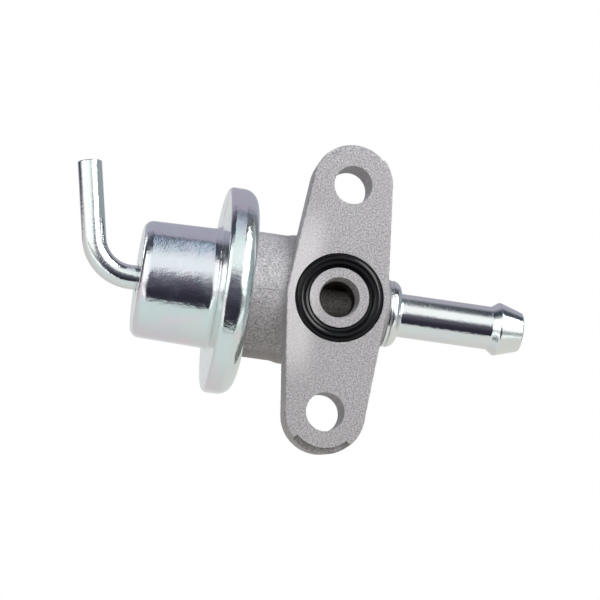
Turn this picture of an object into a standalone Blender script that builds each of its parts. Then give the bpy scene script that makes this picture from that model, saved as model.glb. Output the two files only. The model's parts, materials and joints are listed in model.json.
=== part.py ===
"""Fuel pressure regulator with a two-bolt flange, a drawn spring can and a barbed return pipe.

Metres, +Z up. +X runs along the regulator's axis towards the return pipe, -Y is the outward normal
of the mounting face, and +Z runs along the line of the two bolt holes. The origin is the centre of
the inlet port on the mounting face.
"""
from math import asin, atan2, cos, hypot, pi, radians, sin, tan

import bmesh
import bpy
from mathutils import Matrix, Vector

MM = 0.001

# Clearances between pieces
SEAM = 0.3 * MM             # between two pieces that touch or are pressed together
BALL_PLAY = 0.12 * MM       # round the ball in its pocket and in its retainer
RING_PLAY = 0.2 * MM        # round the O-ring in its groove

# Mounting flange of the casting
AXIS_DEPTH = 13.0 * MM      # regulator's axis behind the mounting face
FLANGE_THICKNESS = 8.0 * MM
FLANGE_LEFT = 9.6 * MM      # from the bolt line to the corner at mid height, towards the can
FLANGE_RIGHT = 9.0 * MM     # the same towards the return pipe
FLANGE_CORNER_RADIUS = 3.0 * MM
FLANGE_END_RADIUS = 7.3 * MM
FLANGE_END_OFFSET = 0.3 * MM     # from a bolt hole's centre outwards to its end's centre
FLANGE_DRAFT = radians(1.5)
FLANGE_EDGE = 0.3 * MM      # rounding of the mounting face's rim
BOLT_SPACING = 41.5 * MM
BOLT_HOLE_RADIUS = 3.5 * MM
REBATE_RADIUS = 6.45 * MM   # arc steps in both ends of the mounting face
REBATE_HALF_ANGLE = radians(44)
REBATE_DEPTH = 1.3 * MM

# Inlet port in the mounting face
PORT_RADIUS = 3.4 * MM
PORT_CHAMFER = 0.4 * MM
GROOVE_INNER = 5.4 * MM
GROOVE_OUTER = 8.1 * MM
RING_PROUD = 0.5 * MM       # how far the O-ring stands out of the mounting face

# Round body of the casting
NECK_RADIUS = 11.7 * MM
BODY_RADIUS = 12.0 * MM
BODY_START = -8.3 * MM
BODY_FILLET = 1.2 * MM
BOSS_RADIUS = 6.4 * MM
BOSS_END = 10.45 * MM
BOSS_CONE = radians(61)     # the cone's slope from the axis
SHOULDER_RADIUS = 13.3 * MM
SHOULDER_END = -16.3 * MM
NECK_FILLET = 0.6 * MM
FIN_WIDTH = 0.3 * MM        # ridge that the mould's parting leaves
FIN_HEIGHT = 0.14 * MM
CHAMBER_RADIUS = 5.6 * MM
CHAMBER_END = 4.3 * MM
CAVITY_RADIUS = 10.4 * MM   # shallow bowl under the diaphragm
CAVITY_DEPTH = 2.2 * MM
CAVITY_CONE_LENGTH = 2.6 * MM

# Spring can with its crimped rim
SHEET = 0.9 * MM
CAN_END = -35.9 * MM
CAN_RADIUS_END = 10.8 * MM
CAN_RADIUS_RIM = 11.15 * MM
CAN_CORNER = 1.7 * MM
RIM_START = -21.8 * MM
RIM_DISH = 0.45 * MM         # how far the rim's left face leans from the can to its corner
RIM_END = -15.95 * MM
RIM_RADIUS = 19.1 * MM
RIM_FILLET = 1.3 * MM       # in the corner between the can and its rim
RIM_CORNER = 0.9 * MM
CRIMP_CORNER = 2.7 * MM
CRIMP_LIP_RADIUS = 14.0 * MM

# Vacuum nipple
NIPPLE_RADIUS = 2.25 * MM
NIPPLE_BORE = 1.4 * MM
NIPPLE_BEND_START = 1.4 * MM     # outside the can's end
NIPPLE_BEND_RADIUS = 7.5 * MM
NIPPLE_TURN = radians(79)
NIPPLE_LEG = 14.5 * MM
NIPPLE_INSIDE = 1.6 * MM         # reach past the can's inner face
NIPPLE_EDGE = 0.3 * MM

# Diaphragm and its plates
DIAPHRAGM_THICKNESS = 0.5 * MM
DIAPHRAGM_SETBACK = 0.7 * MM      # from the rim's inner wall to the diaphragm's edge
ROLL_INNER = 8.75 * MM
ROLL_OUTER = 10.35 * MM
PLATE = 0.8 * MM
SPRING_PLATE_RADIUS = 7.6 * MM
SPRING_PLATE_RIM = 1.6 * MM
WASHER_RADIUS = 7.8 * MM
CAN_PLATE_RADIUS = 9.3 * MM
CAN_PLATE_HUB = 4.9 * MM
CAN_PLATE_LIP = 1.6 * MM

# Springs
MAIN_WIRE = 1.6 * MM
MAIN_COIL_RADIUS = 6.05 * MM
MAIN_CLOSED_TURNS = 1.0
MAIN_ACTIVE_TURNS = 3.0
BALL_WIRE = 0.28 * MM
BALL_COIL_RADIUS = 0.85 * MM
BALL_SPRING_LENGTH = 1.2 * MM
BALL_SPRING_TURNS = 2.0
CLOSED_COIL_GAP = 0.12 * MM

# Valve
SEAT_END = -11.9 * MM
SEAT_TUBE_RADIUS = 3.0 * MM
SEAT_BORE = 1.6 * MM
SEAT_LIP_RADIUS = 2.2 * MM
SEAT_LIP_HEIGHT = 0.4 * MM
BALL_RADIUS = 2.4 * MM
BALL_FLAT_DEPTH = 1.5 * MM       # from the ball's centre to its ground flat
HOLDER_RADIUS = 4.2 * MM
HOLDER_FLANGE_RADIUS = 5.2 * MM
HOLDER_FLANGE = 1.0 * MM
SHANK_RADIUS = 1.7 * MM
RIVET_RADIUS = 2.7 * MM
RIVET_HEIGHT = 0.6 * MM
RETAINER = 0.4 * MM
RETAINER_RADIUS = 3.3 * MM
RETAINER_HOLE = 2.3 * MM
MOUTH_SETBACK = 0.45 * MM        # from the seat to the retainer's face

# Return pipe
PIPE_RADIUS = 4.05 * MM
PIPE_BORE = 3.0 * MM
PIPE_END = 36.6 * MM
PIPE_INSERT = 3.05 * MM
COLLAR_RADIUS = 6.25 * MM
COLLAR_LENGTH = 2.25 * MM
COLLAR_CORNER = 1.9 * MM
BARB_RADIUS = 5.05 * MM
BARB_CREST = 4.6 * MM            # from the pipe's end
BARB_FLARE = 1.4 * MM
BARB_FLARE_FILLET = 0.9 * MM
BARB_TIP_RADIUS = 3.6 * MM
BARB_CREST_ROUNDING = 0.7 * MM
BARB_TIP_ROUNDING = 0.45 * MM

# Facets
LARGE_STEPS = 42
MEDIUM_STEPS = 32
SMALL_STEPS = 24
HOLE_STEPS = 32
END_STEPS = 8               # in a quarter of each end of the flange
TUBE_STEPS = 16
RING_SIDES = 10
SHARP = radians(32)

# Places that follow from the sizes above, along X
CAN_INNER_END = CAN_END + SHEET
DIAPHRAGM_LEFT = RIM_START + RIM_DISH + SHEET + SEAM
DIAPHRAGM_RIGHT = DIAPHRAGM_LEFT + DIAPHRAGM_THICKNESS
CLAMP_LEFT = DIAPHRAGM_RIGHT + SEAM
CLAMP_RIGHT = RIM_END - SHEET - SEAM
CLAMP_RADIUS = RIM_RADIUS - SHEET - 2 * SEAM
CLAMP_CORNER = CRIMP_CORNER - SHEET - SEAM
END_CENTRE = BOLT_SPACING / 2 + FLANGE_END_OFFSET
DIAPHRAGM_RADIUS = RIM_RADIUS - SHEET - DIAPHRAGM_SETBACK
SPRING_PLATE_RIGHT = DIAPHRAGM_LEFT - SEAM
SPRING_PLATE_LEFT = SPRING_PLATE_RIGHT - PLATE
WASHER_LEFT = DIAPHRAGM_RIGHT + SEAM
WASHER_RIGHT = WASHER_LEFT + PLATE
HOLDER_LEFT = WASHER_RIGHT + SEAM
CAN_PLATE_LEFT = CAN_INNER_END + SEAM
CAN_PLATE_RIGHT = CAN_PLATE_LEFT + PLATE
BALL_FLAT = SEAT_END - SEAM
BALL_CENTRE = BALL_FLAT - BALL_FLAT_DEPTH
POCKET_RADIUS = BALL_RADIUS + 2 * BALL_PLAY
POCKET_FLOOR = BALL_CENTRE - BALL_RADIUS - SEAM
RETAINER_RIGHT = SEAT_END - MOUTH_SETBACK
RETAINER_LEFT = RETAINER_RIGHT - RETAINER
SPRING_WELL_RADIUS = BALL_COIL_RADIUS + BALL_WIRE / 2 + SEAM
SPRING_WELL_FLOOR = POCKET_FLOOR - BALL_SPRING_LENGTH
SOCKET_FLOOR = BOSS_END - PIPE_INSERT - SEAM
SEAT_TUBE_END = SOCKET_FLOOR - SEAM


def clear_scene():
    for thing in list(bpy.data.objects):
        bpy.data.objects.remove(thing, do_unlink=True)


def make_material(name, colour, roughness, metallic):
    material = bpy.data.materials.new(name)
    material.use_nodes = True
    shader = material.node_tree.nodes["Principled BSDF"]
    shader.inputs["Base Color"].default_value = (*colour, 1.0)
    shader.inputs["Roughness"].default_value = roughness
    shader.inputs["Metallic"].default_value = metallic
    material.diffuse_color = (*colour, 1.0)
    return material


def make_object(name, bm, material):
    """Turn a bmesh into a named object with outward faces."""
    bmesh.ops.recalc_face_normals(bm, faces=bm.faces)
    mesh = bpy.data.meshes.new(name)
    bm.to_mesh(mesh)
    bm.free()
    mesh.shade_smooth()
    mesh.set_sharp_from_angle(angle=SHARP)
    thing = bpy.data.objects.new(name, mesh)
    if material:
        thing.data.materials.append(material)
    bpy.context.scene.collection.objects.link(thing)
    return thing


def place_on_axis(thing):
    thing.location = (0.0, AXIS_DEPTH, 0.0)
    return thing


def rounded(corners, steps=4):
    """Points of a path through corners (a, b, fillet radius), with each fillet drawn as an arc."""
    points = []
    last = len(corners) - 1
    for index, (a, b, radius) in enumerate(corners):
        here = Vector((a, b))
        if radius <= 0.0 or index in (0, last):
            points.append(here)
            continue
        before = (Vector(corners[index - 1][:2]) - here).normalized()
        after = (Vector(corners[index + 1][:2]) - here).normalized()
        half = before.angle(after) / 2
        centre = here + (before + after).normalized() * (radius / sin(half))
        start = here + before * (radius / tan(half)) - centre
        sweep = start.angle_signed(here + after * (radius / tan(half)) - centre)
        for step in range(steps + 1):
            turn = Matrix.Rotation(-sweep * step / steps, 2)
            points.append(centre + turn @ start)
    return points


def rounded_loop(corners, steps=4):
    """The same for a closed outline."""
    wrapped = [corners[-1]] + list(corners) + [corners[0]]
    return rounded(wrapped, steps)[1:-1]


def arc_points(centre, radius, start, end, steps):
    """Points on an arc, with its angles in radians."""
    angles = [start + (end - start) * step / steps for step in range(steps + 1)]
    return [Vector((centre[0] + radius * cos(a), centre[1] + radius * sin(a))) for a in angles]


def sheet_outline(path, thickness):
    """Closed outline of a bent sheet whose middle line is the path."""
    left, right = [], []
    for index, point in enumerate(path):
        before = path[index] - path[max(index - 1, 0)]
        after = path[min(index + 1, len(path) - 1)] - path[index]
        before = before.normalized() if before.length else after.normalized()
        after = after.normalized() if after.length else before
        along = (before + after).normalized()
        reach = thickness / 2 / max(along.dot(after), 0.5)
        normal = Vector((-along.y, along.x))
        left.append(point + normal * reach)
        right.append(point - normal * reach)
    return left + right[::-1]


def turned(name, outline, material, steps):
    """Solid of revolution about the regulator's axis, from a closed outline of (x, r) points."""
    bm = bmesh.new()
    rings = []
    for point in outline:
        if point[1] < 1e-7:
            rings.append([bm.verts.new((point[0], 0.0, 0.0))])
            continue
        angles = [2 * pi * step / steps for step in range(steps)]
        rings.append([bm.verts.new((point[0], point[1] * cos(a), point[1] * sin(a))) for a in angles])
    for ring, following in zip(rings, rings[1:] + rings[:1]):
        for step in range(steps):
            after = (step + 1) % steps
            corners = [ring[step % len(ring)], ring[after % len(ring)],
                       following[after % len(following)], following[step % len(following)]]
            face = list(dict.fromkeys(corners))
            if len(face) > 2:
                bm.faces.new(face)
    return place_on_axis(make_object(name, bm, material))


def bored_tube(name, route, outer, inner, material, steps, edge):
    """Tube along a route in the plane of the bolt line, with its outer end edges rounded off."""
    directions = []
    for index in range(len(route)):
        ahead = route[min(index + 1, len(route) - 1)] - route[max(index - 1, 0)]
        directions.append(ahead.normalized())
    sections = [(route[0], directions[0], outer - edge)]
    sections.append((route[0] + directions[0] * edge, directions[0], outer))
    sections += [(point, way, outer) for point, way in list(zip(route, directions))[1:-1]]
    sections.append((route[-1] - directions[-1] * edge, directions[-1], outer))
    sections.append((route[-1], directions[-1], outer - edge))
    sections += [(point, way, inner) for point, way in list(zip(route, directions))[::-1]]
    bm = bmesh.new()
    rings = []
    for point, way, radius in sections:
        side = Vector((0.0, 1.0, 0.0))
        up = way.cross(side)
        angles = [2 * pi * step / steps for step in range(steps)]
        rings.append([bm.verts.new(point + (side * cos(a) + up * sin(a)) * radius) for a in angles])
    for ring, following in zip(rings, rings[1:] + rings[:1]):
        for step in range(steps):
            after = (step + 1) % steps
            bm.faces.new((ring[step], ring[after], following[after], following[step]))
    return place_on_axis(make_object(name, bm, material))


def coil_spring(name, start, end, radius, wire, closed_turns, active_turns, material, steps, sides):
    """Compression spring between two planes along the axis, with closed end turns."""
    closed_rise = closed_turns * (wire + CLOSED_COIL_GAP)
    turns = 2 * closed_turns + active_turns
    active_pitch = (end - start - wire - 2 * closed_rise) / active_turns
    count = round(turns * steps)
    bm = bmesh.new()
    rings = []
    for index in range(count + 1):
        turn = turns * index / count
        low = min(turn, closed_turns)
        high = max(turn - closed_turns - active_turns, 0.0)
        middle = turn - low - high
        rise = (low + high) * (wire + CLOSED_COIL_GAP) + middle * active_pitch
        angle = 2 * pi * turn
        centre = Vector((start + wire / 2 + rise, radius * cos(angle), radius * sin(angle)))
        outward = Vector((0.0, cos(angle), sin(angle)))
        along = Vector((1.0, 0.0, 0.0))
        spots = [2 * pi * side / sides for side in range(sides)]
        rings.append([bm.verts.new(centre + (outward * cos(s) + along * sin(s)) * wire / 2)
                      for s in spots])
    for ring, following in zip(rings, rings[1:]):
        for side in range(sides):
            after = (side + 1) % sides
            bm.faces.new((ring[side], ring[after], following[after], following[side]))
    bm.faces.new(rings[0][::-1])
    bm.faces.new(rings[-1])
    return place_on_axis(make_object(name, bm, material))


def lofted_plate(name, levels, material):
    """Closed solid through outlines of (x, z) points, each at its own depth y."""
    bm = bmesh.new()
    rings = [[bm.verts.new((point[0], depth, point[1])) for point in outline]
             for outline, depth in levels]
    for ring, following in zip(rings, rings[1:]):
        for step in range(len(ring)):
            after = (step + 1) % len(ring)
            bm.faces.new((ring[step], ring[after], following[after], following[step]))
    bm.faces.new(rings[0])
    bm.faces.new(rings[-1][::-1])
    return make_object(name, bm, material)


def flange_outline(inset):
    """Flange's outline, drawn in by inset: an arc round each bolt hole and a corner at each side."""
    radius = FLANGE_END_RADIUS - inset
    points = []
    for side, reach in ((1, FLANGE_RIGHT - inset), (-1, FLANGE_LEFT - inset)):
        lean = atan2(reach, END_CENTRE) - asin(radius / hypot(reach, END_CENTRE))
        for step in range(-END_STEPS - 1, END_STEPS + 1):
            if step == 0:
                points += corner_points(side, reach, lean)
                continue
            end = 1 if step * side > 0 else -1
            angle = lean + (pi / 2 - lean) * (abs(step) - 1) / END_STEPS
            points.append(Vector((side * radius * cos(angle), end * (END_CENTRE + radius * sin(angle)))))
    return points


def corner_points(side, reach, lean):
    """Rounded corner at mid height of one side of the flange."""
    centre = reach - FLANGE_CORNER_RADIUS / cos(lean)
    angles = [lean * step / 2 for step in range(-2, 3)]
    return [Vector((side * (centre + FLANGE_CORNER_RADIUS * cos(a)),
                    side * FLANGE_CORNER_RADIUS * sin(a))) for a in angles]


def cutter(thing):
    thing.hide_render = True
    thing.display_type = "WIRE"
    return thing


def combine(thing, other, operation):
    """Boolean of the other object into the first; the other one stays hidden as a tool."""
    cutter(other)
    modifier = thing.modifiers.new(f"{operation.lower()} {other.name}", "BOOLEAN")
    modifier.operation = operation
    modifier.solver = "EXACT"
    modifier.object = other


def round_bar(name, radius, start, end, x, z, steps, mouth=0.0):
    """Cylinder along Y between two depths, with an optional wider cone at its start."""
    rings_at = [(start - mouth, radius + 2 * mouth), (start + mouth, radius), (end, radius)]
    if not mouth:
        del rings_at[0]
    angles = [2 * pi * step / steps for step in range(steps)]
    levels = []
    for depth, reach in rings_at:
        levels.append(([Vector((x + reach * cos(a), z + reach * sin(a))) for a in angles], depth))
    return lofted_plate(name, levels, None)


def groove_tool():
    """Ring that cuts the O-ring's groove into the mounting face."""
    depth = ring_section() * 2 - RING_PROUD + RING_PLAY
    angles = [2 * pi * step / MEDIUM_STEPS for step in range(MEDIUM_STEPS)]
    outline = [(GROOVE_INNER, -MM), (GROOVE_INNER, depth), (GROOVE_OUTER, depth), (GROOVE_OUTER, -MM)]
    bm = bmesh.new()
    rings = []
    for radius, y in outline:
        rings.append([bm.verts.new((radius * cos(a), y, radius * sin(a))) for a in angles])
    for ring, following in zip(rings, rings[1:] + rings[:1]):
        for step in range(MEDIUM_STEPS):
            after = (step + 1) % MEDIUM_STEPS
            bm.faces.new((ring[step], ring[after], following[after], following[step]))
    return make_object("groove_tool", bm, None)


def rebate_tool(name, end):
    """Cutter for the arc step at one end of the mounting face."""
    middle = end * pi / 2
    centre = (0.0, end * BOLT_SPACING / 2)
    inner = arc_points(centre, REBATE_RADIUS, middle - REBATE_HALF_ANGLE, middle + REBATE_HALF_ANGLE, 10)
    outer = arc_points(centre, FLANGE_END_RADIUS + MM, middle + REBATE_HALF_ANGLE,
                       middle - REBATE_HALF_ANGLE, 10)
    return lofted_plate(name, [(inner + outer, -MM), (inner + outer, REBATE_DEPTH)], None)


def ring_section():
    """Radius of the O-ring's round section, as its groove allows."""
    return (GROOVE_OUTER - GROOVE_INNER) / 2 - RING_PLAY


def casting_outline():
    """Outside of the casting's round body, and its passages from left to right."""
    cone_start = BOSS_END - (BODY_RADIUS - BOSS_RADIUS) / tan(BOSS_CONE)
    outside = [
        (CLAMP_LEFT, CAVITY_RADIUS, 0), (CLAMP_LEFT, CLAMP_RADIUS, 0), (CLAMP_RIGHT, CLAMP_RADIUS, CLAMP_CORNER),
        (CLAMP_RIGHT, SHOULDER_RADIUS, 0), (SHOULDER_END, SHOULDER_RADIUS, 0),
        (SHOULDER_END + NECK_FILLET, NECK_RADIUS, NECK_FILLET),
        (BODY_START - BODY_FILLET, NECK_RADIUS, BODY_FILLET), (BODY_START, BODY_RADIUS, BODY_FILLET),
        (cone_start, BODY_RADIUS, 1.5 * MM), (BOSS_END, BOSS_RADIUS, 0),
    ]
    passages = [
        (BOSS_END, PIPE_RADIUS + SEAM, 0), (SOCKET_FLOOR, PIPE_RADIUS + SEAM, 0),
        (SOCKET_FLOOR, SEAT_TUBE_RADIUS + SEAM, 0), (CHAMBER_END, SEAT_TUBE_RADIUS + SEAM, 0),
        (CHAMBER_END, CHAMBER_RADIUS, 0),
        (CLAMP_LEFT + CAVITY_DEPTH + CAVITY_CONE_LENGTH, CHAMBER_RADIUS, 0),
        (CLAMP_LEFT + CAVITY_DEPTH, CAVITY_RADIUS, 0),
    ]
    return rounded_loop(outside + passages, steps=2)


def parting_fin():
    """Thin ridge along the casting's mould parting, in front and behind."""
    half = FIN_WIDTH / 2
    front = AXIS_DEPTH - NECK_RADIUS - FIN_HEIGHT
    back = AXIS_DEPTH + NECK_RADIUS + FIN_HEIGHT
    left = SHOULDER_END + 1.4 * MM
    right = BODY_START
    inner = AXIS_DEPTH - CAVITY_RADIUS
    outline = [Vector((left, -half)), Vector((right, -half)), Vector((right, half)), Vector((left, half))]
    fins = [lofted_plate("fin_front", [(outline, front), (outline, inner)], None)]
    fins.append(lofted_plate("fin_back", [(outline, 2 * AXIS_DEPTH - inner), (outline, back)], None))
    return fins


def make_casting(material):
    """Die-cast body: mounting flange, round body, port, bolt holes and passages in one piece."""
    shrink = FLANGE_THICKNESS * tan(FLANGE_DRAFT)
    body = turned("body_casting", casting_outline(), material, LARGE_STEPS)
    plate = lofted_plate("flange_blank", [
        (flange_outline(FLANGE_EDGE), 0.0),
        (flange_outline(0.0), FLANGE_EDGE),
        (flange_outline(shrink), FLANGE_THICKNESS - FLANGE_EDGE),
        (flange_outline(shrink + FLANGE_EDGE), FLANGE_THICKNESS),
    ], material)
    chamber = turned("chamber_tool", rounded([
        (SEAT_END, 0, 0), (SEAT_END, CHAMBER_RADIUS, 0),
        (CHAMBER_END, CHAMBER_RADIUS, 0), (CHAMBER_END, 0, 0),
    ]), None, LARGE_STEPS)
    combine(plate, chamber, "DIFFERENCE")
    combine(body, plate, "UNION")
    for fin in parting_fin():
        combine(body, fin, "UNION")
    port_end = AXIS_DEPTH - SEAT_TUBE_RADIUS - SEAM
    tools = [round_bar("port_tool", PORT_RADIUS, 0.0, port_end, 0.0, 0.0, MEDIUM_STEPS, PORT_CHAMFER)]
    tools.append(groove_tool())
    for name, end in (("upper", 1), ("lower", -1)):
        tools.append(round_bar(f"{name}_hole_tool", BOLT_HOLE_RADIUS, -MM, FLANGE_THICKNESS + MM,
                               0.0, end * BOLT_SPACING / 2, HOLE_STEPS))
        tools.append(rebate_tool(f"{name}_rebate_tool", end))
    for tool in tools:
        combine(body, tool, "DIFFERENCE")
    return body


def make_port_ring(material):
    """O-ring that seals the port's face, lying in its groove."""
    section = ring_section()
    middle = (GROOVE_INNER + GROOVE_OUTER) / 2
    bm = bmesh.new()
    rings = []
    for step in range(MEDIUM_STEPS):
        angle = 2 * pi * step / MEDIUM_STEPS
        outward = Vector((cos(angle), 0.0, sin(angle)))
        ring = []
        for spot in range(RING_SIDES):
            turn = 2 * pi * spot / RING_SIDES
            place = outward * (middle + section * cos(turn))
            place.y = section * sin(turn)
            ring.append(bm.verts.new(place))
        rings.append(ring)
    for ring, following in zip(rings, rings[1:] + rings[:1]):
        for spot in range(RING_SIDES):
            after = (spot + 1) % RING_SIDES
            bm.faces.new((ring[spot], ring[after], following[after], following[spot]))
    ring = make_object("port_o_ring", bm, material)
    ring.location = (0.0, section - RING_PROUD, 0.0)
    return ring


def make_can(material):
    """Drawn steel can, with its rim crimped round the casting's clamping disc."""
    half = SHEET / 2
    path = rounded([
        (CAN_END + half, NIPPLE_RADIUS + SEAM, 0),
        (CAN_END + half, CAN_RADIUS_END - half, CAN_CORNER - half),
        (RIM_START + half, CAN_RADIUS_RIM - half, RIM_FILLET + half),
        (RIM_START + RIM_DISH + half, RIM_RADIUS - half, RIM_CORNER - half),
        (RIM_END - half, RIM_RADIUS - half, CRIMP_CORNER - half),
        (RIM_END - half, CRIMP_LIP_RADIUS, 0),
    ], steps=3)
    return turned("spring_can", sheet_outline(path, SHEET), material, LARGE_STEPS)


def make_nipple(material):
    """Bent vacuum tube through the can's end."""
    bend_x = CAN_END - NIPPLE_BEND_START
    steps = 10
    route = [Vector((CAN_INNER_END + NIPPLE_INSIDE, 0.0, 0.0))]
    for step in range(steps + 1):
        angle = NIPPLE_TURN * step / steps
        route.append(Vector((bend_x - NIPPLE_BEND_RADIUS * sin(angle), 0.0,
                             NIPPLE_BEND_RADIUS * (1 - cos(angle)))))
    way = Vector((-cos(NIPPLE_TURN), 0.0, sin(NIPPLE_TURN)))
    route.append(route[-1] + way * NIPPLE_LEG)
    return bored_tube("vacuum_nipple", route, NIPPLE_RADIUS, NIPPLE_BORE, material, TUBE_STEPS, NIPPLE_EDGE)


def make_can_plate(material):
    """Pressed plate that the main spring stands on, in the can's closed end."""
    half = PLATE / 2
    path = rounded([
        (CAN_PLATE_RIGHT + CAN_PLATE_LIP, CAN_PLATE_HUB - half, 0),
        (CAN_PLATE_LEFT + half, CAN_PLATE_HUB - half, 0.8 * MM),
        (CAN_PLATE_LEFT + half, CAN_PLATE_RADIUS, 0),
    ], steps=2)
    return turned("upper_spring_seat", sheet_outline(path, PLATE), material, SMALL_STEPS)


def make_spring_plate(material):
    """Cupped plate between the main spring and the diaphragm."""
    half = PLATE / 2
    path = rounded([
        (SPRING_PLATE_LEFT + half, SHANK_RADIUS + SEAM, 0),
        (SPRING_PLATE_LEFT + half, SPRING_PLATE_RADIUS, 0.8 * MM),
        (SPRING_PLATE_LEFT - SPRING_PLATE_RIM, SPRING_PLATE_RADIUS, 0),
    ], steps=2)
    return turned("lower_spring_seat", sheet_outline(path, PLATE), material, SMALL_STEPS)


def make_main_spring(material):
    return coil_spring("main_spring", CAN_PLATE_RIGHT + SEAM, SPRING_PLATE_LEFT - SEAM, MAIN_COIL_RADIUS,
                       MAIN_WIRE, MAIN_CLOSED_TURNS, MAIN_ACTIVE_TURNS, material, 14, 6)


def make_diaphragm(material):
    """Rubber diaphragm with one rolled convolution, clamped under the crimped rim."""
    middle = (DIAPHRAGM_LEFT + DIAPHRAGM_RIGHT) / 2
    roll = (ROLL_OUTER - ROLL_INNER) / 2
    crest = arc_points((middle, (ROLL_INNER + ROLL_OUTER) / 2), roll, 3 * pi / 2, pi / 2, 5)
    path = [Vector((middle, SHANK_RADIUS + SEAM))] + crest + [Vector((middle, DIAPHRAGM_RADIUS))]
    return turned("diaphragm", sheet_outline(path, DIAPHRAGM_THICKNESS), material, SMALL_STEPS)


def make_washer(material):
    """Flat plate on the diaphragm's fuel side."""
    outline = rounded_loop([
        (WASHER_LEFT, SHANK_RADIUS + SEAM, 0), (WASHER_RIGHT, SHANK_RADIUS + SEAM, 0),
        (WASHER_RIGHT, WASHER_RADIUS, 0.25 * MM), (WASHER_LEFT, WASHER_RADIUS, 0.25 * MM),
    ], steps=2)
    return turned("diaphragm_washer", outline, material, SMALL_STEPS)


def make_holder(material):
    """Turned valve holder: riveted shank, flange, spring well, ball pocket and staked mouth."""
    head_right = SPRING_PLATE_LEFT - SEAM
    flange_right = HOLDER_LEFT + HOLDER_FLANGE
    mouth_radius = RETAINER_RADIUS + SEAM
    mouth_floor = RETAINER_LEFT - SEAM
    outline = rounded_loop([
        (head_right - RIVET_HEIGHT, 0, 0), (head_right - RIVET_HEIGHT, RIVET_RADIUS, 0.4 * MM),
        (head_right, RIVET_RADIUS, 0), (head_right, SHANK_RADIUS, 0),
        (HOLDER_LEFT, SHANK_RADIUS, 0), (HOLDER_LEFT, HOLDER_FLANGE_RADIUS, 0),
        (flange_right, HOLDER_FLANGE_RADIUS, 0.2 * MM), (flange_right, HOLDER_RADIUS, 0.3 * MM),
        (RETAINER_RIGHT, HOLDER_RADIUS, 0.4 * MM), (RETAINER_RIGHT, mouth_radius, 0),
        (mouth_floor, mouth_radius, 0), (mouth_floor, POCKET_RADIUS, 0),
        (POCKET_FLOOR, POCKET_RADIUS, 0), (POCKET_FLOOR, SPRING_WELL_RADIUS, 0),
        (SPRING_WELL_FLOOR, SPRING_WELL_RADIUS, 0), (SPRING_WELL_FLOOR, 0, 0),
    ], steps=2)
    return turned("valve_holder", outline, material, SMALL_STEPS)


def make_ball(material):
    """Steel ball with the flat that closes the seat."""
    flat_radius = (BALL_RADIUS ** 2 - BALL_FLAT_DEPTH ** 2) ** 0.5
    start = atan2(flat_radius, BALL_FLAT_DEPTH)
    sphere = arc_points((0.0, 0.0), BALL_RADIUS, start, pi, 8)
    sphere[-1].y = 0.0
    ball = turned("valve_ball", [Vector((BALL_FLAT_DEPTH, 0.0))] + sphere, material, SMALL_STEPS)
    ball.location.x = BALL_CENTRE
    return ball


def make_ball_spring(material):
    start = SPRING_WELL_FLOOR + SEAM
    seat_drop = (BALL_RADIUS ** 2 - BALL_COIL_RADIUS ** 2) ** 0.5
    end = BALL_CENTRE - seat_drop - SEAM
    return coil_spring("ball_spring", start, end, BALL_COIL_RADIUS, BALL_WIRE, 0.0, BALL_SPRING_TURNS,
                       material, 12, 5)


def make_retainer(material):
    """Ring that keeps the ball in its pocket."""
    outline = [
        Vector((RETAINER_LEFT, RETAINER_HOLE)), Vector((RETAINER_RIGHT, RETAINER_HOLE - BALL_PLAY)),
        Vector((RETAINER_RIGHT, RETAINER_RADIUS)), Vector((RETAINER_LEFT, RETAINER_RADIUS)),
    ]
    return turned("ball_retainer", outline, material, SMALL_STEPS)


def make_seat_tube(material):
    """Stainless tube pressed into the casting; the ball's flat closes its lip."""
    outline = rounded_loop([
        (SEAT_END, SEAT_BORE, 0), (SEAT_END, SEAT_LIP_RADIUS, 0),
        (SEAT_END + SEAT_LIP_HEIGHT, SEAT_LIP_RADIUS, 0),
        (SEAT_END + SEAT_LIP_HEIGHT, SEAT_TUBE_RADIUS, 0.3 * MM),
        (SEAT_TUBE_END, SEAT_TUBE_RADIUS, 0.2 * MM), (SEAT_TUBE_END, SEAT_BORE, 0),
    ], steps=2)
    return turned("valve_seat_tube", outline, material, SMALL_STEPS)


def make_return_pipe(material):
    """Steel return pipe with an upset collar and a swaged hose barb."""
    collar = BOSS_END + SEAM
    crest = PIPE_END - BARB_CREST
    outline = rounded_loop([
        (SOCKET_FLOOR + SEAM, PIPE_BORE, 0), (SOCKET_FLOOR + SEAM, PIPE_RADIUS, 0),
        (collar, PIPE_RADIUS, 0), (collar, COLLAR_RADIUS, 0.35 * MM),
        (collar + COLLAR_LENGTH, COLLAR_RADIUS, COLLAR_CORNER),
        (collar + COLLAR_LENGTH, PIPE_RADIUS, 0.3 * MM),
        (crest - BARB_FLARE, PIPE_RADIUS, BARB_FLARE_FILLET), (crest, BARB_RADIUS, BARB_CREST_ROUNDING),
        (PIPE_END, BARB_TIP_RADIUS, BARB_TIP_ROUNDING), (PIPE_END, PIPE_BORE, 0.15 * MM),
    ], steps=2)
    return turned("return_pipe", outline, material, MEDIUM_STEPS)


def build():
    clear_scene()
    casting = make_material("casting", (0.50, 0.49, 0.51), 0.55, 0.6)
    zinc = make_material("zinc_plate", (0.78, 0.80, 0.79), 0.22, 1.0)
    steel = make_material("steel", (0.55, 0.55, 0.56), 0.3, 1.0)
    brass = make_material("brass", (0.72, 0.55, 0.25), 0.3, 1.0)
    rubber = make_material("rubber", (0.012, 0.012, 0.014), 0.4, 0.0)
    make_casting(casting)
    make_port_ring(rubber)
    make_can(zinc)
    make_nipple(zinc)
    make_can_plate(steel)
    make_main_spring(steel)
    make_spring_plate(steel)
    make_diaphragm(rubber)
    make_washer(steel)
    make_holder(brass)
    make_ball(steel)
    make_ball_spring(steel)
    make_retainer(brass)
    make_seat_tube(steel)
    make_return_pipe(zinc)


build()
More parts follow.
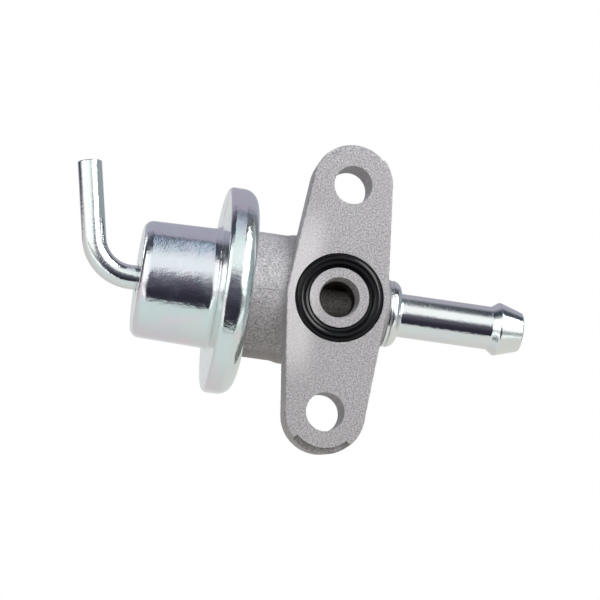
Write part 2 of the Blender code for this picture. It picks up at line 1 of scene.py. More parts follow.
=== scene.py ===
"""Looks of the fuel pressure regulator: fine meshes, finishes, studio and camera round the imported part.

Metres, in the part's own frame: +X along the regulator's axis towards the return pipe, -Y out of the
mounting face, +Z along the line of the bolt holes, and the origin at the centre of the inlet port.
"""
import json
from math import asin, atan2, cos, hypot, pi, radians, sin, tan

import bmesh
import bpy
from mathutils import Matrix, Vector


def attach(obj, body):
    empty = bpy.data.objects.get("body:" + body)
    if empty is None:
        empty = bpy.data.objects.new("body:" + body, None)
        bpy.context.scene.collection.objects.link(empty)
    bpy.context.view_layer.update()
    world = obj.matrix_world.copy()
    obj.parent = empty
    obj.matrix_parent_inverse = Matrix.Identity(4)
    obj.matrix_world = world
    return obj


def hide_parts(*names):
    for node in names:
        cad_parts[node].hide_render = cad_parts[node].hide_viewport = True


MM = 0.001

# Sizes that the fine meshes share with the solids
AXIS_DEPTH = 13.0 * MM
SEAM = 0.3 * MM
FLANGE_THICKNESS = 8.0 * MM
FLANGE_LEFT = 9.6 * MM
FLANGE_RIGHT = 9.0 * MM
FLANGE_CORNER_RADIUS = 3.0 * MM
FLANGE_END_RADIUS = 7.3 * MM
FLANGE_END_OFFSET = 0.3 * MM
FLANGE_DRAFT = radians(1.5)
BOLT_SPACING = 41.5 * MM
BOLT_HOLE_RADIUS = 3.5 * MM
REBATE_RADIUS = 6.45 * MM
REBATE_HALF_ANGLE = radians(44)
REBATE_DEPTH = 1.3 * MM
PORT_RADIUS = 3.4 * MM
PORT_MOUTH = 3.7 * MM
PORT_MOUTH_DEPTH = 0.9 * MM
GROOVE_INNER = 5.4 * MM
GROOVE_OUTER = 8.1 * MM
RING_SECTION = 1.15 * MM
RING_PROUD = 0.5 * MM
RING_MIDDLE = 7.04 * MM
RING_HALF_WIDTH = 1.05 * MM
RING_WEB = 5.5 * MM
RING_SEAT = 1.75 * MM
RING_WEB_TOP = 0.42 * MM
RING_ARC_START = -72
RING_ARC_SWEEP = 162
RING_ARC_STEPS = 40
NECK_RADIUS = 11.7 * MM
BODY_RADIUS = 12.0 * MM
BODY_START = -8.3 * MM
BOSS_RADIUS = 6.4 * MM
BOSS_END = 10.45 * MM
BOSS_CONE = radians(61)
SHOULDER_RADIUS = 13.3 * MM
SHOULDER_END = -16.3 * MM
CHAMBER_RADIUS = 5.6 * MM
CHAMBER_END = 4.3 * MM
CAVITY_RADIUS = 10.4 * MM
CLAMP_LEFT = -19.35 * MM
CLAMP_RIGHT = -17.15 * MM
CLAMP_RADIUS = 17.6 * MM
SEAT_TUBE_RADIUS = 3.0 * MM
SHEET = 0.9 * MM
CAN_END = -35.9 * MM
CAN_RADIUS_END = 10.8 * MM
CAN_RADIUS_RIM = 11.15 * MM
RIM_START = -21.8 * MM
RIM_DISH = 0.45 * MM
RIM_END = -15.95 * MM
RIM_RADIUS = 19.1 * MM
CRIMP_LIP_RADIUS = 14.0 * MM
NIPPLE_RADIUS = 2.25 * MM
NIPPLE_BORE = 1.4 * MM
NIPPLE_BEND_START = 1.4 * MM
NIPPLE_BEND_RADIUS = 7.5 * MM
NIPPLE_TURN = radians(79)
NIPPLE_LEG = 14.5 * MM
NIPPLE_INSIDE = 1.6 * MM
PIPE_RADIUS = 4.05 * MM
PIPE_BORE = 3.0 * MM
PIPE_END = 36.6 * MM
SOCKET_FLOOR = 7.1 * MM
COLLAR_RADIUS = 6.25 * MM
COLLAR_END = 13.0 * MM
BARB_RADIUS = 5.05 * MM
BARB_CREST = 4.6 * MM
BARB_FLARE = 1.4 * MM
BARB_TIP_RADIUS = 3.6 * MM
END_CENTRE = BOLT_SPACING / 2 + FLANGE_END_OFFSET

# Camera, fitted to the photograph's bolt holes, port, can and pipe
CAMERA_PLACE = (-55.63 * MM, -385.31 * MM, -51.43 * MM)
CAMERA_ROWS = ((0.982296, -0.140399, -0.124024),
               (-0.139955, -0.109924, -0.984037),
               (0.124525, 0.983974, -0.127627))
CAMERA_LENS = 130.87

# Floor and soft boxes
FLOOR_DROP = 90 * MM
FLOOR_RADIUS = 450 * MM
LAMP_PLACE = (50 * MM, -150 * MM, 190 * MM)
LAMP_SIZE = 100 * MM
LAMP_POWER = 0.46
FILL_PLACE = (-30 * MM, 190 * MM, 110 * MM)
FILL_POWER = 0.30

# Meshes
ROUND_STEPS = 160
FINE_STEPS = 96
FILLET_HOLD = 0.06 * MM
SHARP_ANGLE = radians(30)
CAST_SHARP_ANGLE = radians(35)
SKIN_VOXEL = 0.22 * MM
SKIN_SMOOTHING = 5
SKIN_FACES_KEPT = 0.3
FIN_HALF_WIDTH = 0.16 * MM
FIN_HEIGHT = 0.07 * MM
CUT_MARGIN = 1.0 * MM

# Depths of the fine bumps
GRAIN_DEPTH = 0.04 * MM
PLATE_DEPTH = 0.01 * MM

# Casting: grain, stains, the side behind the flange, a painted patch of light on the face and painted
# shade inside the port
CAST_DARK = (0.22, 0.215, 0.23)
CAST_PALE = (0.72, 0.71, 0.74)
CAST_BLOTCH = (0.42, 0.41, 0.43)
CAST_SPOT = (0.36, 0.35, 0.37)
CAST_BEHIND = (0.30, 0.29, 0.30)
CAST_PAINTED_LIGHT = (0.95, 0.94, 0.97)
CAST_PAINTED_PORT_SHADE = (0.035, 0.032, 0.030)

# Rubber and the inner pieces
RUBBER_BLACK = (0.003, 0.003, 0.004)
RUBBER_DUST = (0.007, 0.007, 0.009)
STAIN_DARK = (0.45, 0.42, 0.40)
STAIN_PALE = (1.0, 0.96, 0.92)
STEEL_CLEAN = (0.60, 0.60, 0.61)
STEEL_WORN = (0.45, 0.45, 0.46)
BRASS_CLEAN = (0.76, 0.58, 0.28)
BRASS_WORN = (0.62, 0.46, 0.22)

# Plating: base colour and two tints that bloom over it
CAN_TINTS = ((0.80, 0.88, 0.86), (0.82, 0.84, 0.88), (0.92, 0.81, 0.85))
TUBE_TINTS = ((0.85, 0.88, 0.86), (0.86, 0.87, 0.85), (0.86, 0.87, 0.90))

# Studio: light on dull surfaces, then what the plating mirrors
WHITE = (1.0, 1.0, 1.0)
LIGHT_FROM_BELOW = (0.44, 0.40, 0.33)
LIGHT_FROM_ABOVE = (0.28, 0.28, 0.295)
PAPER_SEEN = (0.93, 0.93, 0.93)
PAPER_LIT = (0.60, 0.55, 0.46)
TABLE_FRONT = (0.68, 0.74, 0.745)
TABLE_BACK = (0.65, 0.62, 0.62)
TABLE_RIGHT = (0.70, 0.70, 0.67)
PANEL_TOP = (0.50, 0.59, 0.71)
PANEL_FOOT = (0.92, 0.97, 0.98)
PANEL_RIGHT = (1.03, 1.06, 1.07)
PANEL_LEFT = (1.10, 1.14, 1.14)
GAP_FOOT = (0.030, 0.027, 0.042)
GAP_TOP = (0.15, 0.15, 0.19)
ROOF = (0.42, 0.41, 0.49)
ROOF_EDGE = (0.04, 0.05, 0.07)
SIDE_WALL = (0.32, 0.37, 0.40)
SIDE_WALL_FOOT = (0.42, 0.44, 0.45)
BEHIND = (0.72, 0.74, 0.74)
STRIP_GLOW = (4.0, 4.1, 4.1)
BOX_GLOW = (9.0, 9.0, 9.0)


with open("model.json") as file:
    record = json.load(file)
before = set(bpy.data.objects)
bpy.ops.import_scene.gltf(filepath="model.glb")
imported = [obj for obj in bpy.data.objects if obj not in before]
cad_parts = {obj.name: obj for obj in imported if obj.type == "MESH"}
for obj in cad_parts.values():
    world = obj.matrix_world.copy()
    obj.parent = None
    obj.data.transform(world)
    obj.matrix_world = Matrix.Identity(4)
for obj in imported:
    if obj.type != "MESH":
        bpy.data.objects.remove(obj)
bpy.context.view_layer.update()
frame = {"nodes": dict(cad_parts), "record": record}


def make_object(name, bm):
    """Named object from a bmesh, with outward faces and smooth shading up to a sharp angle."""
    bmesh.ops.recalc_face_normals(bm, faces=bm.faces)
    mesh = bpy.data.meshes.new(name)
    bm.to_mesh(mesh)
    bm.free()
    mesh.shade_smooth()
    mesh.set_sharp_from_angle(angle=SHARP_ANGLE)
    thing = bpy.data.objects.new(name, mesh)
    bpy.context.scene.collection.objects.link(thing)
    return thing


def bridge(bm, ring, following):
    """Band of faces between two rings of as many points."""
    count = len(ring)
    for step in range(count):
        after = (step + 1) % count
        bm.faces.new((ring[step], ring[after], following[after], following[step]))


def rounded(corners, steps=8):
    """Path through corners (a, b, fillet radius), with a short straight kept beside each fillet."""
    points = []
    last = len(corners) - 1
    for index, (a, b, radius) in enumerate(corners):
        here = Vector((a, b))
        if radius <= 0.0 or index in (0, last):
            points.append(here)
            continue
        before = (Vector(corners[index - 1][:2]) - here).normalized()
        after = (Vector(corners[index + 1][:2]) - here).normalized()
        half = before.angle(after) / 2
        reach = radius / tan(half)
        centre = here + (before + after).normalized() * (radius / sin(half))
        start = here + before * reach - centre
        sweep = start.angle_signed(here + after * reach - centre)
        points.append(here + before * (reach + FILLET_HOLD))
        for step in range(steps + 1):
            turn = Matrix.Rotation(-sweep * step / steps, 2)
            points.append(centre + turn @ start)
        points.append(here + after * (reach + FILLET_HOLD))
    return points


def rounded_loop(corners, steps=8):
    """Closed path through corners, filleted like an open one."""
    wrapped = [corners[-1]] + list(corners) + [corners[0]]
    return rounded(wrapped, steps)[1:-1]


def sheet_outline(path, thickness):
    """Closed outline of a bent sheet whose middle line is the path."""
    left, right = [], []
    for index, point in enumerate(path):
        before = path[index] - path[max(index - 1, 0)]
        after = path[min(index + 1, len(path) - 1)] - path[index]
        before = before.normalized() if before.length else after.normalized()
        after = after.normalized() if after.length else before
        along = (before + after).normalized()
        reach = thickness / 2 / max(along.dot(after), 0.5)
        normal = Vector((-along.y, along.x))
        left.append(point + normal * reach)
        right.append(point - normal * reach)
    return left + right[::-1]


def turned(name, outline, steps=ROUND_STEPS):
    """Solid of revolution about the regulator's axis, from a closed outline of (x, r) points."""
    bm = bmesh.new()
    rings = []
    for point in outline:
        if point[1] < 1e-7:
            rings.append([bm.verts.new((point[0], AXIS_DEPTH, 0.0))])
            continue
        angles = [2 * pi * step / steps for step in range(steps)]
        rings.append([bm.verts.new((point[0], AXIS_DEPTH + point[1] * cos(a), point[1] * sin(a)))
                      for a in angles])
    for ring, following in zip(rings, rings[1:] + rings[:1]):
        for step in range(steps):
            after = (step + 1) % steps
            corners = [ring[step % len(ring)], ring[after % len(ring)],
                       following[after % len(following)], following[step % len(following)]]
            face = list(dict.fromkeys(corners))
            if len(face) > 2:
                bm.faces.new(face)
    return make_object(name, bm)


def lofted(name, levels):
    """Closed solid through outlines of (x, z) points, each at its own depth y."""
    bm = bmesh.new()
    rings = [[bm.verts.new((point[0], depth, point[1])) for point in outline]
             for outline, depth in levels]
    for ring, following in zip(rings, rings[1:]):
        bridge(bm, ring, following)
    bm.faces.new(rings[0])
    bm.faces.new(rings[-1][::-1])
    return make_object(name, bm)


def arc(centre, radius, start, end, steps):
    """Points on a circle from one angle to another."""
    angles = [start + (end - start) * step / steps for step in range(steps + 1)]
    return [Vector((centre[0] + radius * cos(a), centre[1] + radius * sin(a))) for a in angles]


def apply_modifiers(thing):
    """Replace the object's mesh by the result of its modifiers."""
    graph = bpy.context.evaluated_depsgraph_get()
    mesh = bpy.data.meshes.new_from_object(thing.evaluated_get(graph))
    thing.modifiers.clear()
    old = thing.data
    thing.data = mesh
    bpy.data.meshes.remove(old)


def combine(thing, tools, operation):
    """Boolean of each tool into the object, applied at once; the tools are removed."""
    for tool in tools:
        modifier = thing.modifiers.new("cut", "BOOLEAN")
        modifier.operation = operation
        modifier.solver = "EXACT"
        modifier.object = tool
        apply_modifiers(thing)
        bpy.data.objects.remove(tool)


# Casting

def flange_outline(inset, steps=28):
    """Flange's outline: an arc round each bolt hole and a soft corner at each side."""
    radius = FLANGE_END_RADIUS - inset
    points = []
    for side, reach in ((1, FLANGE_RIGHT - inset), (-1, FLANGE_LEFT - inset)):
        lean = atan2(reach, END_CENTRE) - asin(radius / hypot(reach, END_CENTRE))
        for step in range(-steps - 1, steps + 1):
            if step == 0:
                centre = reach - FLANGE_CORNER_RADIUS / cos(lean)
                turns = [lean * turn / 4 for turn in range(-4, 5)]
                points += [Vector((side * (centre + FLANGE_CORNER_RADIUS * cos(a)),
                                   side * FLANGE_CORNER_RADIUS * sin(a)))
                           for a in turns]
                continue
            end = 1 if step * side > 0 else -1
            angle = lean + (pi / 2 - lean) * (abs(step) - 1) / steps
            points.append(Vector((side * radius * cos(angle),
                                  end * (END_CENTRE + radius * sin(angle)))))
    return points


def bar(name, levels, z):
    """Round cutter along Y through (depth, radius) levels."""
    angles = [2 * pi * step / FINE_STEPS for step in range(FINE_STEPS)]
    return lofted(name, [([Vector((r * cos(a), z + r * sin(a))) for a in angles], depth)
                         for depth, r in levels])


def groove_cutter():
    """Ring-shaped cutter for the O-ring's groove."""
    angles = [2 * pi * step / FINE_STEPS for step in range(FINE_STEPS)]
    depth = 2 * RING_SECTION - RING_PROUD + 0.2 * MM
    bm = bmesh.new()
    outline = [(GROOVE_INNER, -CUT_MARGIN), (GROOVE_INNER, depth),
               (GROOVE_OUTER, depth), (GROOVE_OUTER, -CUT_MARGIN)]
    rings = [[bm.verts.new((r * cos(a), y, r * sin(a))) for a in angles] for r, y in outline]
    for ring, following in zip(rings, rings[1:] + rings[:1]):
        bridge(bm, ring, following)
    return make_object("groove_cutter", bm)


def rebate_cutter(end):
    """Cutter for the step round the flange's upper (1) or lower (-1) end."""
    middle = end * pi / 2
    centre = (0.0, end * BOLT_SPACING / 2)
    start, stop = middle - REBATE_HALF_ANGLE, middle + REBATE_HALF_ANGLE
    outline = arc(centre, REBATE_RADIUS, start, stop, 32)
    outline += arc(centre, FLANGE_END_RADIUS + CUT_MARGIN, stop, start, 32)
    return lofted("rebate_cutter", [(outline, -CUT_MARGIN), (outline, REBATE_DEPTH)])


def casting_blank():
    """Round body and flange in one skin, with the soft edges of a die casting."""
    cone_start = BOSS_END - (BODY_RADIUS - BOSS_RADIUS) / tan(BOSS_CONE)
    body = turned("body_casting_skin", rounded_loop([
        (CLAMP_LEFT, 0, 0), (CLAMP_LEFT, CLAMP_RADIUS, 0), (CLAMP_RIGHT, CLAMP_RADIUS, 1.4 * MM),
        (CLAMP_RIGHT, SHOULDER_RADIUS, 0), (SHOULDER_END, SHOULDER_RADIUS, 0),
        (SHOULDER_END + 0.6 * MM, NECK_RADIUS, 0.6 * MM),
        (BODY_START - 1.2 * MM, NECK_RADIUS, 1.2 * MM), (BODY_START, BODY_RADIUS, 1.2 * MM),
        (cone_start, BODY_RADIUS, 1.5 * MM), (BOSS_END, BOSS_RADIUS, 0), (BOSS_END, 0, 0),
    ], 6))
    shrink = FLANGE_THICKNESS * tan(FLANGE_DRAFT)
    plate = lofted("flange_blank", [(flange_outline(0.0), 0.0),
                                    (flange_outline(shrink), FLANGE_THICKNESS)])
    combine(body, [plate], "UNION")
    remesh = body.modifiers.new("skin", "REMESH")
    remesh.mode = "VOXEL"
    remesh.voxel_size = SKIN_VOXEL
    smooth = body.modifiers.new("soft edges", "SMOOTH")
    smooth.factor = 0.5
    smooth.iterations = SKIN_SMOOTHING
    thin = body.modifiers.new("fewer faces", "DECIMATE")
    thin.ratio = SKIN_FACES_KEPT
    apply_modifiers(body)
    return body


def parting_fin(front):
    """Thin ridge along the neck, where the die's halves meet."""
    reach = NECK_RADIUS + FIN_HEIGHT
    depths = (AXIS_DEPTH + CAVITY_RADIUS, AXIS_DEPTH + reach)
    if front:
        depths = (AXIS_DEPTH - reach, AXIS_DEPTH - CAVITY_RADIUS)
    left, right = SHOULDER_END + 1.4 * MM, BODY_START
    outline = [Vector((left, -FIN_HALF_WIDTH)), Vector((right, -FIN_HALF_WIDTH)),
               Vector((right, FIN_HALF_WIDTH)), Vector((left, FIN_HALF_WIDTH))]
    return lofted("fin", [(outline, depths[0]), (outline, depths[1])])


def make_casting():
    """Casting with its bolt holes, rebates, port, groove and passages."""
    body = casting_blank()
    combine(body, [parting_fin(True), parting_fin(False)], "UNION")
    passages = turned("passages", rounded([
        (CLAMP_LEFT - CUT_MARGIN, 0, 0), (CLAMP_LEFT - CUT_MARGIN, CAVITY_RADIUS, 0),
        (CLAMP_LEFT + 2.2 * MM, CAVITY_RADIUS, 0),
        (CLAMP_LEFT + 4.8 * MM, CHAMBER_RADIUS, 0), (CHAMBER_END, CHAMBER_RADIUS, 0),
        (CHAMBER_END, SEAT_TUBE_RADIUS + SEAM, 0), (SOCKET_FLOOR, SEAT_TUBE_RADIUS + SEAM, 0),
        (SOCKET_FLOOR, PIPE_RADIUS + SEAM, 0), (BOSS_END + CUT_MARGIN, PIPE_RADIUS + SEAM, 0),
        (BOSS_END + CUT_MARGIN, 0, 0),
    ]), FINE_STEPS)
    tools = [passages, groove_cutter()]
    floor = AXIS_DEPTH - SEAT_TUBE_RADIUS - SEAM
    tools.append(bar("port_cutter", ((-0.5 * MM, PORT_MOUTH), (PORT_MOUTH_DEPTH, PORT_MOUTH),
                                     (2 * PORT_MOUTH_DEPTH, PORT_RADIUS), (floor, PORT_RADIUS)), 0.0))
    for end in (1, -1):
        hole = ((-CUT_MARGIN, BOLT_HOLE_RADIUS), (FLANGE_THICKNESS + CUT_MARGIN, BOLT_HOLE_RADIUS))
        tools.append(bar("hole_cutter", hole, end * BOLT_SPACING / 2))
        tools.append(rebate_cutter(end))
    combine(body, tools, "DIFFERENCE")
    body.data.shade_smooth()
    body.data.set_sharp_from_angle(angle=CAST_SHARP_ANGLE)
    return body


# Rubber ring

def make_ring():
    """Ring of round section against the groove's outer wall, with a low web on its inner side."""
    outline = [Vector((RING_WEB, RING_SEAT)), Vector((RING_WEB, RING_WEB_TOP))]
    for step in range(RING_ARC_STEPS + 1):
        turn = radians(RING_ARC_START + RING_ARC_SWEEP * step / RING_ARC_STEPS)
        outline.append(Vector((RING_MIDDLE + RING_HALF_WIDTH * sin(turn),
                               RING_SECTION - RING_PROUD - RING_SECTION * cos(turn))))
    outline.append(Vector((RING_MIDDLE + RING_HALF_WIDTH, RING_SEAT)))
    bm = bmesh.new()
    angles = [2 * pi * step / ROUND_STEPS for step in range(ROUND_STEPS)]
    rings = [[bm.verts.new((r * cos(a), y, r * sin(a))) for a in angles] for r, y in outline]
    for ring, following in zip(rings, rings[1:] + rings[:1]):
        bridge(bm, ring, following)
    return make_object("port_ring_fine", bm)


# Plated steel

def make_can():
    """Drawn can of one sheet, from its hole for the nipple to the lip of its crimped rim."""
    half = SHEET / 2
    path = rounded([
        (CAN_END + half, NIPPLE_RADIUS + SEAM, 0),
        (CAN_END + half, CAN_RADIUS_END - half, 1.25 * MM),
        (RIM_START + half, CAN_RADIUS_RIM - half, 1.75 * MM),
        (RIM_START + RIM_DISH + half, RIM_RADIUS - half, 0.45 * MM),
        (RIM_END - half, RIM_RADIUS - half, 2.25 * MM),
        (RIM_END - half, CRIMP_LIP_RADIUS, 0),
    ], 10)
    return turned("spring_can_fine", sheet_outline(path, SHEET))


def make_nipple():
    """Bent tube, with rounded ends, along a route out of the can's end and up."""
    bend_x = CAN_END - NIPPLE_BEND_START
    steps = 48
    route = [Vector((CAN_END + SHEET + NIPPLE_INSIDE, AXIS_DEPTH, 0.0))]
    for step in range(steps + 1):
        angle = NIPPLE_TURN * step / steps
        route.append(Vector((bend_x - NIPPLE_BEND_RADIUS * sin(angle), AXIS_DEPTH,
                             NIPPLE_BEND_RADIUS * (1 - cos(angle)))))
    route.append(route[-1] + Vector((-cos(NIPPLE_TURN), 0.0, sin(NIPPLE_TURN))) * NIPPLE_LEG)
    ways = [(route[min(i + 1, len(route) - 1)] - route[max(i - 1, 0)]).normalized()
            for i in range(len(route))]
    middle = list(zip(route, ways))
    edge = 0.3 * MM
    quarter = [pi / 2 * step / 6 for step in range(7)]
    sections = [(route[0] + ways[0] * edge * (1 - cos(angle)), ways[0],
                 NIPPLE_RADIUS - edge * (1 - sin(angle))) for angle in quarter]
    sections += [(point, way, NIPPLE_RADIUS) for point, way in middle[1:-1]]
    sections += [(route[-1] - ways[-1] * edge * (1 - cos(angle)), ways[-1],
                  NIPPLE_RADIUS - edge * (1 - sin(angle))) for angle in quarter[::-1]]
    sections += [(point, way, NIPPLE_BORE) for point, way in middle[::-1]]
    side = Vector((0.0, 1.0, 0.0))
    angles = [2 * pi * step / 64 for step in range(64)]
    bm = bmesh.new()
    rings = []
    for point, way, radius in sections:
        up = way.cross(side)
        rings.append([bm.verts.new(point + (side * cos(a) + up * sin(a)) * radius) for a in angles])
    for ring, following in zip(rings, rings[1:] + rings[:1]):
        bridge(bm, ring, following)
    return make_object("vacuum_nipple_fine", bm)


def make_pipe():
    """Pipe from its socket through the upset collar to the barb."""
    collar = BOSS_END + 0.03 * MM
    groove = collar + 0.5 * MM
    crest = PIPE_END - BARB_CREST
    outline = rounded_loop([
        (SOCKET_FLOOR + SEAM, PIPE_BORE, 0), (SOCKET_FLOOR + SEAM, PIPE_RADIUS, 0),
        (collar, PIPE_RADIUS, 0), (collar, COLLAR_RADIUS, 0.2 * MM),
        (groove, COLLAR_RADIUS, 0.1 * MM), (groove + 0.15 * MM, COLLAR_RADIUS - 0.14 * MM, 0.1 * MM),
        (groove + 0.3 * MM, COLLAR_RADIUS - 0.02 * MM, 0.1 * MM),
        (COLLAR_END, COLLAR_RADIUS - 0.1 * MM, 1.7 * MM),
        (COLLAR_END, PIPE_RADIUS, 0.3 * MM),
        (crest - BARB_FLARE, PIPE_RADIUS, 0.8 * MM), (crest, BARB_RADIUS, 0.6 * MM),
        (PIPE_END, BARB_TIP_RADIUS, 0.45 * MM), (PIPE_END, PIPE_BORE, 0.15 * MM),
    ], 8)
    return turned("return_pipe_fine", outline, FINE_STEPS)


# Finishes

class Value:
    """A socket that takes part in arithmetic: each operation adds a Math node to its tree."""

    def __init__(self, board, socket):
        self.board = board
        self.socket = socket

    def _math(self, operation, *values):
        return self.board.add("ShaderNodeMath", {"operation": operation}, *values)

    def __add__(self, other):
        return self._math("ADD", self, other)

    def __radd__(self, other):
        return self._math("ADD", other, self)

    def __sub__(self, other):
        return self._math("SUBTRACT", self, other)

    def __rsub__(self, other):
        return self._math("SUBTRACT", other, self)

    def __mul__(self, other):
        return self._math("MULTIPLY", self, other)

    def __rmul__(self, other):
        return self._math("MULTIPLY", other, self)

    def __truediv__(self, other):
        return self._math("DIVIDE", self, other)

    def __pow__(self, other):
        return self._math("POWER", self, other)


class Board:
    """Node tree of one finish or of the studio's surroundings."""

    def __init__(self, tree):
        self.tree = tree
        self.tree.nodes.clear()

    def node(self, kind, settings, *values, **named):
        """Add a node: its settings first, then its sockets, by order or by name."""
        node = self.tree.nodes.new(kind)
        for name, setting in settings.items():
            setattr(node, name, setting)
        for place, value in list(enumerate(values)) + list(named.items()):
            socket = node.inputs[place if isinstance(place, int) else place.replace("_", " ")]
            if isinstance(value, Value):
                self.tree.links.new(value.socket, socket)
            elif value is not None:
                socket.default_value = value
        return node

    def add(self, kind, settings, *values, output=0, **named):
        """Add a node and give one of its outputs."""
        return Value(self, self.node(kind, settings, *values, **named).outputs[output])

    def step(self, value, low, high, smooth=True):
        """0 below low, 1 above high, soft between; low may be the greater one."""
        kind = "SMOOTHSTEP" if smooth else "LINEAR"
        return self.add("ShaderNodeMapRange", {"interpolation_type": kind}, value, low, high, 0.0, 1.0)

    def mix(self, factor, first, second):
        """Colour mix: first where the factor is 0, second where it is 1."""
        node = self.node("ShaderNodeMix", {"data_type": "RGBA"})
        for place, value in ((0, factor), (6, first), (7, second)):
            if isinstance(value, Value):
                self.tree.links.new(value.socket, node.inputs[place])
            else:
                node.inputs[place].default_value = value if place == 0 else (*value, 1.0)
        return Value(self, node.outputs[2])

    def noise(self, place, scale, detail=2.0, roughness=0.5, distortion=0.0):
        """Noise at a place, with a scale per metre."""
        return self.add("ShaderNodeTexNoise", {}, Vector=place, Scale=scale, Detail=detail,
                        Roughness=roughness, Distortion=distortion)

    def place(self):
        """Object-space position."""
        return self.add("ShaderNodeTexCoord", {}, output="Object")

    def parts(self, vector):
        """The vector's x, y and z."""
        node = self.node("ShaderNodeSeparateXYZ", {}, vector)
        return [Value(self, node.outputs[axis]) for axis in range(3)]


def finish(name):
    """New material and the board that its nodes go on."""
    material = bpy.data.materials.new(name)
    material.use_nodes = True
    return material, Board(material.node_tree)


def surface(board, **sockets):
    """Principled surface with these sockets, as the material's output."""
    shader = board.node("ShaderNodeBsdfPrincipled", {}, **sockets)
    board.node("ShaderNodeOutputMaterial", {}, Surface=Value(board, shader.outputs[0]))


def cast_finish():
    """Blasted aluminium casting: fine grain over darker blotches, darker at the back, with painted shade
    in the port and a painted patch of light on the face.
    """
    material, board = finish("blasted_casting")
    place = board.place()
    grain = board.noise(place, 3300, 2.0, 0.65)
    fine = board.noise(place, 7000, 1.0)
    blotch = board.noise(place, 120, 3.0, 0.6)
    spots = board.noise(place, 700, 2.0, 0.6)
    colour = board.mix(board.step(grain, 0.30, 0.70, False), CAST_DARK, CAST_PALE)
    colour = board.mix(board.step(blotch, 0.50, 0.68) * 0.35, colour, CAST_BLOTCH)
    colour = board.mix(board.step(spots, 0.58, 0.70) * 0.40, colour, CAST_SPOT)
    x, y, z = board.parts(place)
    behind = board.step(y, 7.5 * MM, 8.6 * MM)
    colour = board.mix(behind * 0.5, colour, CAST_BEHIND)
    # Painted light: a pale patch on the front face, left of the port, brightens it as the light does
    face = board.step(y, 1.0 * MM, 0.0)
    painted_light_patch = board.step(x, -2.0 * MM, -6.5 * MM) * board.step(z * z, 300e-6, 60e-6) * face
    colour = board.mix(painted_light_patch * 0.50, colour, CAST_PAINTED_LIGHT)
    # Painted shade: the port's inside goes dark from about 3.4 mm to 12 mm behind the face
    port = board.step(x * x + z * z, 15.5e-6, 15.0e-6)
    port = port * board.step(y, 3.4 * MM, 4.2 * MM) * board.step(y, 12.0 * MM, 11.0 * MM)
    colour = board.mix(port, colour, CAST_PAINTED_PORT_SHADE)
    height = grain + fine * 0.5 + spots * 0.7
    bump = board.add("ShaderNodeBump", {}, Strength=1.0, Distance=GRAIN_DEPTH, Height=height)
    surface(board, Base_Color=colour, Metallic=0.15, Roughness=0.55, Normal=bump)
    return material


def zinc_finish(name, tints, waves, mottle, grit, rough):
    """Bright zinc plate: faint passivation colours, a slightly uneven skin and fine grit."""
    material, board = finish(name)
    place = board.place()
    bloom = board.noise(place, 75, 2.0, 0.55, 0.6)
    second = board.noise(place, 170, 2.0, 0.5)
    colour = board.mix(board.step(bloom, 0.40, 0.62), tints[0], tints[1])
    colour = board.mix(board.step(second, 0.48, 0.72) * 0.7, colour, tints[2])
    height = board.noise(place, 330, 2.0, 0.5) * waves
    height = height + board.noise(place, 1300, 2.0, 0.6) * mottle
    height = height + board.noise(place, 3200, 1.0) * grit
    bump = board.add("ShaderNodeBump", {}, Strength=1.0, Distance=PLATE_DEPTH, Height=height)
    cloud = board.step(board.noise(place, 260, 3.0, 0.6), 0.38, 0.78)
    haze = rough[0] + cloud * rough[1]
    surface(board, Base_Color=colour, Metallic=1.0, Roughness=haze, Normal=bump)
    return material


def rubber_finish():
    """Black moulded rubber with a little dust."""
    material, board = finish("ring_rubber")
    place = board.place()
    dust = board.noise(place, 2600, 2.0, 0.6)
    colour = board.mix(board.step(dust, 0.55, 0.8), RUBBER_BLACK, RUBBER_DUST)
    rough = 0.16 + dust * 0.10
    surface(board, Base_Color=colour, Roughness=rough, Specular_IOR_Level=0.25)
    return material


def dull_finish():
    """Grainy, fuel-stained metal of the seat tube, seen through the port."""
    material, board = finish("stained_steel")
    place = board.place()
    grain = board.noise(place, 4000, 2.0, 0.7)
    colour = board.mix(board.step(grain, 0.35, 0.65), STAIN_DARK, STAIN_PALE)
    bump = board.add("ShaderNodeBump", {}, Strength=1.0, Distance=GRAIN_DEPTH, Height=grain)
    surface(board, Base_Color=colour, Metallic=0.2, Roughness=0.7, Normal=bump)
    return material


def plain_metal(name, colour, worn):
    """Bare metal of the inner pieces, hazy in places."""
    material, board = finish(name)
    place = board.place()
    haze = board.noise(place, 500, 3.0, 0.6)
    shade = board.mix(board.step(haze, 0.4, 0.7), colour, worn)
    surface(board, Base_Color=shade, Metallic=1.0, Roughness=0.24 + haze * 0.15)
    return material


# Studio: x runs along the part, and turn is the angle about it in degrees, 0 at the front and 90 up

def front_panel(board, x, turn):
    """Bright panel before the part, bluish at its top, over the pale table."""
    table = board.mix(board.step(turn, -70, -140), TABLE_FRONT, TABLE_BACK)
    table = board.mix(board.step(x, 0.10, 0.30) * board.step(turn, -40, -60), table, TABLE_RIGHT)
    panel = board.mix(board.step(turn, 84, 34), PANEL_TOP, PANEL_FOOT)
    panel = board.mix(board.step(x, 0.09, 0.16), panel, PANEL_RIGHT)
    panel = board.mix(board.step(x, -0.12, -0.35), panel, PANEL_LEFT)
    return board.mix(board.step(turn, -52, -40), table, panel)


def dark_gap(board, level, x, turn, aside):
    """Dark gap between the panel and the table, narrower and paler to the sides."""
    right = board.step(x, 0.10, 0.17)
    top = 9 - board.step(aside, 0.12, 0.55) * 16 - right * 8 - board.step(x, 0.05, -0.02) * 9
    foot = board.step(aside, 0.15, 0.60) * 18 - right * 4 - 48
    gap = board.step(turn - top, 17 - aside * 14, -1) * board.step(turn - foot, -3, 6)
    gap = gap * (1 - board.step(aside, 0.25, 0.90) * 0.55)
    shade = board.mix(board.step(turn, -32, 14), GAP_FOOT, GAP_TOP)
    return board.mix(gap, level, shade)


